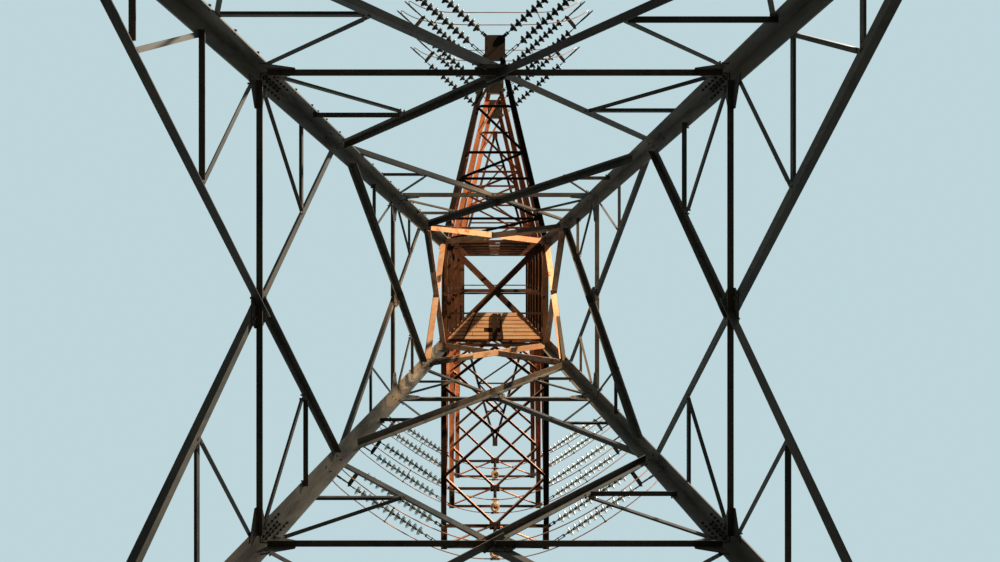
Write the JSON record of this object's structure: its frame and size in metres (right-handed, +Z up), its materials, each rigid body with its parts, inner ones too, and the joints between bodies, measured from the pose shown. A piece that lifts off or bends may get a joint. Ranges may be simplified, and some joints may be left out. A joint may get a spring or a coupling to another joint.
{
  "type": "lattice transmission pylon",
  "caption": "Four-legged steel lattice pylon for a sharp bend in an overhead line, with pointed and square-ended crossarms, glass insulator strings and jumper loops.",
  "frame": {"origin": "on the ground at the tower's axis, level with the underside of the foot plates", "axes": "+Z up, +X along the pointed arms on the inner side of the line's bend, +Y towards one of the two spans"},
  "size_m": [17.096, 10.68, 35.46],
  "materials": {
    "dark_steel": "weathered dark zinc coat, matt",
    "rusty_steel": "weathered, brown with rust, matt",
    "platform_timber": "old brown planks",
    "glass_disc": "greenish toughened glass",
    "aluminium_wire": "dull stranded wire"
  },
  "bodies": {
    "root": {"arm_ties": "dark_steel", "base_bracing_back": "dark_steel", "base_bracing_front": "dark_steel", "base_bracing_left": "dark_steel", "base_bracing_right": "dark_steel", "belt_gussets": "dark_steel", "cage_bracing_back": "rusty_steel", "cage_bracing_front": "rusty_steel", "cage_bracing_left": "rusty_steel", "cage_bracing_right": "rusty_steel", "cage_legs": "rusty_steel", "cage_plan_braces": "rusty_steel", "earth_wire_arms": "rusty_steel", "leg_back_left": "dark_steel", "leg_back_right": "dark_steel", "leg_front_left": "dark_steel", "leg_front_right": "dark_steel", "middle_bracing_back": "dark_steel", "middle_bracing_front": "dark_steel", "middle_bracing_left": "dark_steel", "middle_bracing_right": "dark_steel", "pilot_strings": "glass_disc", "pointed_arm_lower": "rusty_steel", "pointed_arm_middle": "rusty_steel", "pointed_arm_upper": "rusty_steel", "pointed_jumpers_lower": "aluminium_wire", "pointed_jumpers_middle": "aluminium_wire", "pointed_jumpers_upper": "aluminium_wire", "pointed_strings_lower": "glass_disc", "pointed_strings_middle": "glass_disc", "pointed_strings_upper": "glass_disc", "square_arm_lower": "rusty_steel", "square_arm_middle": "rusty_steel", "square_arm_upper": "rusty_steel", "square_jumpers_lower": "aluminium_wire", "square_jumpers_middle": "aluminium_wire", "square_jumpers_upper": "aluminium_wire", "square_strings_lower": "glass_disc", "square_strings_middle": "glass_disc", "square_strings_upper": "glass_disc", "waist_bracing_back": "dark_steel", "waist_bracing_front": "dark_steel", "waist_bracing_left": "dark_steel", "waist_bracing_right": "dark_steel", "work_platform": "platform_timber"}
  },
  "joints": []
}
